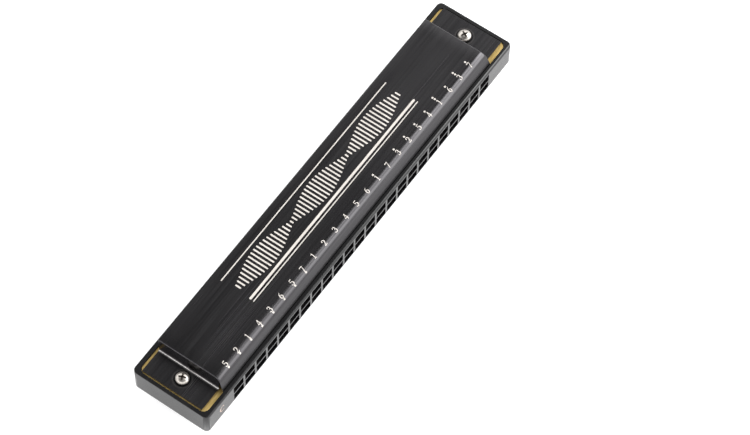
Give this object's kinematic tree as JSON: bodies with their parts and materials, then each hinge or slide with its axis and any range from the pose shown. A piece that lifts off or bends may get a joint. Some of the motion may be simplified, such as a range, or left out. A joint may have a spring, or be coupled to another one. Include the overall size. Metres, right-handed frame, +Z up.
{
  "type": "tremolo harmonica",
  "caption": "Long black tremolo harmonica: a moulded comb with two rows of holes, brass reed plates with swinging reeds, and brushed black covers held by cross-head screws.",
  "frame": {"origin": "under the middle of the instrument, in the plane of the lower cover's flat face, which it rests on", "axes": "+X along the instrument from the low notes to the high notes, +Y away from the player's mouth, +Z up through the upper cover"},
  "size_m": [0.1852, 0.032, 0.0222],
  "materials": {
    "comb_plastic": "satin black moulded ABS",
    "plate_brass": "lightly brushed brass sheet",
    "reed_brass": "filed reed brass",
    "cover_metal": "black plated sheet brushed lengthwise, with pale engraved marks",
    "screw_nickel": "nickel plated"
  },
  "bodies": {
    "root": {"comb": "comb_plastic", "upper_reed_plate": "plate_brass", "lower_reed_plate": "plate_brass", "upper_cover": "cover_metal", "lower_cover": "cover_metal", "upper_low_end_screw": "screw_nickel", "upper_high_end_screw": "screw_nickel", "lower_low_end_screw": "screw_nickel", "lower_high_end_screw": "screw_nickel"},
    "upper_reed_01_tongue": {"upper_reed_01": "reed_brass"},
    "lower_reed_01_tongue": {"lower_reed_01": "reed_brass"},
    "upper_reed_02_tongue": {"upper_reed_02": "reed_brass"},
    "lower_reed_02_tongue": {"lower_reed_02": "reed_brass"},
    "upper_reed_03_tongue": {"upper_reed_03": "reed_brass"},
    "lower_reed_03_tongue": {"lower_reed_03": "reed_brass"},
    "upper_reed_04_tongue": {"upper_reed_04": "reed_brass"},
    "lower_reed_04_tongue": {"lower_reed_04": "reed_brass"},
    "upper_reed_05_tongue": {"upper_reed_05": "reed_brass"},
    "lower_reed_05_tongue": {"lower_reed_05": "reed_brass"},
    "upper_reed_06_tongue": {"upper_reed_06": "reed_brass"},
    "lower_reed_06_tongue": {"lower_reed_06": "reed_brass"},
    "upper_reed_07_tongue": {"upper_reed_07": "reed_brass"},
    "lower_reed_07_tongue": {"lower_reed_07": "reed_brass"},
    "upper_reed_08_tongue": {"upper_reed_08": "reed_brass"},
    "lower_reed_08_tongue": {"lower_reed_08": "reed_brass"},
    "upper_reed_09_tongue": {"upper_reed_09": "reed_brass"},
    "lower_reed_09_tongue": {"lower_reed_09": "reed_brass"},
    "upper_reed_10_tongue": {"upper_reed_10": "reed_brass"},
    "lower_reed_10_tongue": {"lower_reed_10": "reed_brass"},
    "upper_reed_11_tongue": {"upper_reed_11": "reed_brass"},
    "lower_reed_11_tongue": {"lower_reed_11": "reed_brass"},
    "upper_reed_12_tongue": {"upper_reed_12": "reed_brass"},
    "lower_reed_12_tongue": {"lower_reed_12": "reed_brass"},
    "upper_reed_13_tongue": {"upper_reed_13": "reed_brass"},
    "lower_reed_13_tongue": {"lower_reed_13": "reed_brass"},
    "upper_reed_14_tongue": {"upper_reed_14": "reed_brass"},
    "lower_reed_14_tongue": {"lower_reed_14": "reed_brass"},
    "upper_reed_15_tongue": {"upper_reed_15": "reed_brass"},
    "lower_reed_15_tongue": {"lower_reed_15": "reed_brass"},
    "upper_reed_16_tongue": {"upper_reed_16": "reed_brass"},
    "lower_reed_16_tongue": {"lower_reed_16": "reed_brass"},
    "upper_reed_17_tongue": {"upper_reed_17": "reed_brass"},
    "lower_reed_17_tongue": {"lower_reed_17": "reed_brass"},
    "upper_reed_18_tongue": {"upper_reed_18": "reed_brass"},
    "lower_reed_18_tongue": {"lower_reed_18": "reed_brass"},
    "upper_reed_19_tongue": {"upper_reed_19": "reed_brass"},
    "lower_reed_19_tongue": {"lower_reed_19": "reed_brass"},
    "upper_reed_20_tongue": {"upper_reed_20": "reed_brass"},
    "lower_reed_20_tongue": {"lower_reed_20": "reed_brass"},
    "upper_reed_21_tongue": {"upper_reed_21": "reed_brass"},
    "lower_reed_21_tongue": {"lower_reed_21": "reed_brass"},
    "upper_reed_22_tongue": {"upper_reed_22": "reed_brass"},
    "lower_reed_22_tongue": {"lower_reed_22": "reed_brass"},
    "upper_reed_23_tongue": {"upper_reed_23": "reed_brass"},
    "lower_reed_23_tongue": {"lower_reed_23": "reed_brass"},
    "upper_reed_24_tongue": {"upper_reed_24": "reed_brass"},
    "lower_reed_24_tongue": {"lower_reed_24": "reed_brass"}
  },
  "joints": [
    {"name": "upper_reed_01_swing", "type": "hinge", "parent": "root", "child": "upper_reed_01_tongue", "pos_m": [-0.07475, 0.00525, 0.01511], "axis": [-1, 0, 0], "range_deg": [-4, 4], "stiffness_Nm_per_rad": 0.0744},
    {"name": "lower_reed_01_swing", "type": "hinge", "parent": "root", "child": "lower_reed_01_tongue", "pos_m": [-0.07475, 0.00525, 0.00709], "axis": [1, 0, 0], "range_deg": [-4, 4]},
    {"name": "upper_reed_02_swing", "type": "hinge", "parent": "root", "child": "upper_reed_02_tongue", "pos_m": [-0.06825, -0.01075, 0.01629], "axis": [1, 0, 0], "range_deg": [-4, 4], "stiffness_Nm_per_rad": 0.0753},
    {"name": "lower_reed_02_swing", "type": "hinge", "parent": "root", "child": "lower_reed_02_tongue", "pos_m": [-0.06825, -0.01075, 0.00591], "axis": [-1, 0, 0], "range_deg": [-4, 4]},
    {"name": "upper_reed_03_swing", "type": "hinge", "parent": "root", "child": "upper_reed_03_tongue", "pos_m": [-0.06175, 0.0046, 0.01511], "axis": [-1, 0, 0], "range_deg": [-4, 4], "stiffness_Nm_per_rad": 0.0764},
    {"name": "lower_reed_03_swing", "type": "hinge", "parent": "root", "child": "lower_reed_03_tongue", "pos_m": [-0.06175, 0.0046, 0.00709], "axis": [1, 0, 0], "range_deg": [-4, 4]},
    {"name": "upper_reed_04_swing", "type": "hinge", "parent": "root", "child": "upper_reed_04_tongue", "pos_m": [-0.05525, -0.01075, 0.01629], "axis": [1, 0, 0], "range_deg": [-4, 4], "stiffness_Nm_per_rad": 0.0774},
    {"name": "lower_reed_04_swing", "type": "hinge", "parent": "root", "child": "lower_reed_04_tongue", "pos_m": [-0.05525, -0.01075, 0.00591], "axis": [-1, 0, 0], "range_deg": [-4, 4]},
    {"name": "upper_reed_05_swing", "type": "hinge", "parent": "root", "child": "upper_reed_05_tongue", "pos_m": [-0.04875, 0.00395, 0.01511], "axis": [-1, 0, 0], "range_deg": [-4, 4], "stiffness_Nm_per_rad": 0.0785},
    {"name": "lower_reed_05_swing", "type": "hinge", "parent": "root", "child": "lower_reed_05_tongue", "pos_m": [-0.04875, 0.00395, 0.00709], "axis": [1, 0, 0], "range_deg": [-4, 4]},
    {"name": "upper_reed_06_swing", "type": "hinge", "parent": "root", "child": "upper_reed_06_tongue", "pos_m": [-0.04225, -0.01075, 0.01629], "axis": [1, 0, 0], "range_deg": [-4, 4], "stiffness_Nm_per_rad": 0.0797},
    {"name": "lower_reed_06_swing", "type": "hinge", "parent": "root", "child": "lower_reed_06_tongue", "pos_m": [-0.04225, -0.01075, 0.00591], "axis": [-1, 0, 0], "range_deg": [-4, 4]},
    {"name": "upper_reed_07_swing", "type": "hinge", "parent": "root", "child": "upper_reed_07_tongue", "pos_m": [-0.03575, 0.00329, 0.01511], "axis": [-1, 0, 0], "range_deg": [-4, 4], "stiffness_Nm_per_rad": 0.0809},
    {"name": "lower_reed_07_swing", "type": "hinge", "parent": "root", "child": "lower_reed_07_tongue", "pos_m": [-0.03575, 0.00329, 0.00709], "axis": [1, 0, 0], "range_deg": [-4, 4]},
    {"name": "upper_reed_08_swing", "type": "hinge", "parent": "root", "child": "upper_reed_08_tongue", "pos_m": [-0.02925, -0.01075, 0.01629], "axis": [1, 0, 0], "range_deg": [-4, 4], "stiffness_Nm_per_rad": 0.0821},
    {"name": "lower_reed_08_swing", "type": "hinge", "parent": "root", "child": "lower_reed_08_tongue", "pos_m": [-0.02925, -0.01075, 0.00591], "axis": [-1, 0, 0], "range_deg": [-4, 4]},
    {"name": "upper_reed_09_swing", "type": "hinge", "parent": "root", "child": "upper_reed_09_tongue", "pos_m": [-0.02275, 0.00264, 0.01511], "axis": [-1, 0, 0], "range_deg": [-4, 4], "stiffness_Nm_per_rad": 0.0835},
    {"name": "lower_reed_09_swing", "type": "hinge", "parent": "root", "child": "lower_reed_09_tongue", "pos_m": [-0.02275, 0.00264, 0.00709], "axis": [1, 0, 0], "range_deg": [-4, 4]},
    {"name": "upper_reed_10_swing", "type": "hinge", "parent": "root", "child": "upper_reed_10_tongue", "pos_m": [-0.01625, -0.01075, 0.01629], "axis": [1, 0, 0], "range_deg": [-4, 4], "stiffness_Nm_per_rad": 0.0849},
    {"name": "lower_reed_10_swing", "type": "hinge", "parent": "root", "child": "lower_reed_10_tongue", "pos_m": [-0.01625, -0.01075, 0.00591], "axis": [-1, 0, 0], "range_deg": [-4, 4]},
    {"name": "upper_reed_11_swing", "type": "hinge", "parent": "root", "child": "upper_reed_11_tongue", "pos_m": [-0.00975, 0.00199, 0.01511], "axis": [-1, 0, 0], "range_deg": [-4, 4], "stiffness_Nm_per_rad": 0.0863},
    {"name": "lower_reed_11_swing", "type": "hinge", "parent": "root", "child": "lower_reed_11_tongue", "pos_m": [-0.00975, 0.00199, 0.00709], "axis": [1, 0, 0], "range_deg": [-4, 4]},
    {"name": "upper_reed_12_swing", "type": "hinge", "parent": "root", "child": "upper_reed_12_tongue", "pos_m": [-0.00325, -0.01075, 0.01629], "axis": [1, 0, 0], "range_deg": [-4, 4], "stiffness_Nm_per_rad": 0.0879},
    {"name": "lower_reed_12_swing", "type": "hinge", "parent": "root", "child": "lower_reed_12_tongue", "pos_m": [-0.00325, -0.01075, 0.00591], "axis": [-1, 0, 0], "range_deg": [-4, 4]},
    {"name": "upper_reed_13_swing", "type": "hinge", "parent": "root", "child": "upper_reed_13_tongue", "pos_m": [0.00325, 0.00134, 0.01511], "axis": [-1, 0, 0], "range_deg": [-4, 4], "stiffness_Nm_per_rad": 0.0895},
    {"name": "lower_reed_13_swing", "type": "hinge", "parent": "root", "child": "lower_reed_13_tongue", "pos_m": [0.00325, 0.00134, 0.00709], "axis": [1, 0, 0], "range_deg": [-4, 4]},
    {"name": "upper_reed_14_swing", "type": "hinge", "parent": "root", "child": "upper_reed_14_tongue", "pos_m": [0.00975, -0.01075, 0.01629], "axis": [1, 0, 0], "range_deg": [-4, 4], "stiffness_Nm_per_rad": 0.0912},
    {"name": "lower_reed_14_swing", "type": "hinge", "parent": "root", "child": "lower_reed_14_tongue", "pos_m": [0.00975, -0.01075, 0.00591], "axis": [-1, 0, 0], "range_deg": [-4, 4]},
    {"name": "upper_reed_15_swing", "type": "hinge", "parent": "root", "child": "upper_reed_15_tongue", "pos_m": [0.01625, 0.00068, 0.01511], "axis": [-1, 0, 0], "range_deg": [-4, 4], "stiffness_Nm_per_rad": 0.093},
    {"name": "lower_reed_15_swing", "type": "hinge", "parent": "root", "child": "lower_reed_15_tongue", "pos_m": [0.01625, 0.00068, 0.00709], "axis": [1, 0, 0], "range_deg": [-4, 4]},
    {"name": "upper_reed_16_swing", "type": "hinge", "parent": "root", "child": "upper_reed_16_tongue", "pos_m": [0.02275, -0.01075, 0.01629], "axis": [1, 0, 0], "range_deg": [-4, 4], "stiffness_Nm_per_rad": 0.095},
    {"name": "lower_reed_16_swing", "type": "hinge", "parent": "root", "child": "lower_reed_16_tongue", "pos_m": [0.02275, -0.01075, 0.00591], "axis": [-1, 0, 0], "range_deg": [-4, 4]},
    {"name": "upper_reed_17_swing", "type": "hinge", "parent": "root", "child": "upper_reed_17_tongue", "pos_m": [0.02925, 0.00003, 0.01511], "axis": [-1, 0, 0], "range_deg": [-4, 4], "stiffness_Nm_per_rad": 0.097},
    {"name": "lower_reed_17_swing", "type": "hinge", "parent": "root", "child": "lower_reed_17_tongue", "pos_m": [0.02925, 0.00003, 0.00709], "axis": [1, 0, 0], "range_deg": [-4, 4]},
    {"name": "upper_reed_18_swing", "type": "hinge", "parent": "root", "child": "upper_reed_18_tongue", "pos_m": [0.03575, -0.01075, 0.01629], "axis": [1, 0, 0], "range_deg": [-4, 4], "stiffness_Nm_per_rad": 0.0992},
    {"name": "lower_reed_18_swing", "type": "hinge", "parent": "root", "child": "lower_reed_18_tongue", "pos_m": [0.03575, -0.01075, 0.00591], "axis": [-1, 0, 0], "range_deg": [-4, 4]},
    {"name": "upper_reed_19_swing", "type": "hinge", "parent": "root", "child": "upper_reed_19_tongue", "pos_m": [0.04225, -0.00062, 0.01511], "axis": [-1, 0, 0], "range_deg": [-4, 4], "stiffness_Nm_per_rad": 0.1015},
    {"name": "lower_reed_19_swing", "type": "hinge", "parent": "root", "child": "lower_reed_19_tongue", "pos_m": [0.04225, -0.00062, 0.00709], "axis": [1, 0, 0], "range_deg": [-4, 4]},
    {"name": "upper_reed_20_swing", "type": "hinge", "parent": "root", "child": "upper_reed_20_tongue", "pos_m": [0.04875, -0.01075, 0.01629], "axis": [1, 0, 0], "range_deg": [-4, 4], "stiffness_Nm_per_rad": 0.1039},
    {"name": "lower_reed_20_swing", "type": "hinge", "parent": "root", "child": "lower_reed_20_tongue", "pos_m": [0.04875, -0.01075, 0.00591], "axis": [-1, 0, 0], "range_deg": [-4, 4]},
    {"name": "upper_reed_21_swing", "type": "hinge", "parent": "root", "child": "upper_reed_21_tongue", "pos_m": [0.05525, -0.00127, 0.01511], "axis": [-1, 0, 0], "range_deg": [-4, 4], "stiffness_Nm_per_rad": 0.1065},
    {"name": "lower_reed_21_swing", "type": "hinge", "parent": "root", "child": "lower_reed_21_tongue", "pos_m": [0.05525, -0.00127, 0.00709], "axis": [1, 0, 0], "range_deg": [-4, 4]},
    {"name": "upper_reed_22_swing", "type": "hinge", "parent": "root", "child": "upper_reed_22_tongue", "pos_m": [0.06175, -0.01075, 0.01629], "axis": [1, 0, 0], "range_deg": [-4, 4], "stiffness_Nm_per_rad": 0.1094},
    {"name": "lower_reed_22_swing", "type": "hinge", "parent": "root", "child": "lower_reed_22_tongue", "pos_m": [0.06175, -0.01075, 0.00591], "axis": [-1, 0, 0], "range_deg": [-4, 4]},
    {"name": "upper_reed_23_swing", "type": "hinge", "parent": "root", "child": "upper_reed_23_tongue", "pos_m": [0.06825, -0.00192, 0.01511], "axis": [-1, 0, 0], "range_deg": [-4, 4], "stiffness_Nm_per_rad": 0.1124},
    {"name": "lower_reed_23_swing", "type": "hinge", "parent": "root", "child": "lower_reed_23_tongue", "pos_m": [0.06825, -0.00192, 0.00709], "axis": [1, 0, 0], "range_deg": [-4, 4]},
    {"name": "upper_reed_24_swing", "type": "hinge", "parent": "root", "child": "upper_reed_24_tongue", "pos_m": [0.07475, -0.01075, 0.01629], "axis": [1, 0, 0], "range_deg": [-4, 4], "stiffness_Nm_per_rad": 0.1156},
    {"name": "lower_reed_24_swing", "type": "hinge", "parent": "root", "child": "lower_reed_24_tongue", "pos_m": [0.07475, -0.01075, 0.00591], "axis": [-1, 0, 0], "range_deg": [-4, 4]}
  ],
  "couplings": [
    {"joint": "lower_reed_01_swing", "follows": "upper_reed_01_swing", "ratio": 1},
    {"joint": "lower_reed_02_swing", "follows": "upper_reed_02_swing", "ratio": 1},
    {"joint": "lower_reed_03_swing", "follows": "upper_reed_03_swing", "ratio": 1},
    {"joint": "lower_reed_04_swing", "follows": "upper_reed_04_swing", "ratio": 1},
    {"joint": "lower_reed_05_swing", "follows": "upper_reed_05_swing", "ratio": 1},
    {"joint": "lower_reed_06_swing", "follows": "upper_reed_06_swing", "ratio": 1},
    {"joint": "lower_reed_07_swing", "follows": "upper_reed_07_swing", "ratio": 1},
    {"joint": "lower_reed_08_swing", "follows": "upper_reed_08_swing", "ratio": 1},
    {"joint": "lower_reed_09_swing", "follows": "upper_reed_09_swing", "ratio": 1},
    {"joint": "lower_reed_10_swing", "follows": "upper_reed_10_swing", "ratio": 1},
    {"joint": "lower_reed_11_swing", "follows": "upper_reed_11_swing", "ratio": 1},
    {"joint": "lower_reed_12_swing", "follows": "upper_reed_12_swing", "ratio": 1},
    {"joint": "lower_reed_13_swing", "follows": "upper_reed_13_swing", "ratio": 1},
    {"joint": "lower_reed_14_swing", "follows": "upper_reed_14_swing", "ratio": 1},
    {"joint": "lower_reed_15_swing", "follows": "upper_reed_15_swing", "ratio": 1},
    {"joint": "lower_reed_16_swing", "follows": "upper_reed_16_swing", "ratio": 1},
    {"joint": "lower_reed_17_swing", "follows": "upper_reed_17_swing", "ratio": 1},
    {"joint": "lower_reed_18_swing", "follows": "upper_reed_18_swing", "ratio": 1},
    {"joint": "lower_reed_19_swing", "follows": "upper_reed_19_swing", "ratio": 1},
    {"joint": "lower_reed_20_swing", "follows": "upper_reed_20_swing", "ratio": 1},
    {"joint": "lower_reed_21_swing", "follows": "upper_reed_21_swing", "ratio": 1},
    {"joint": "lower_reed_22_swing", "follows": "upper_reed_22_swing", "ratio": 1},
    {"joint": "lower_reed_23_swing", "follows": "upper_reed_23_swing", "ratio": 1},
    {"joint": "lower_reed_24_swing", "follows": "upper_reed_24_swing", "ratio": 1}
  ]
}
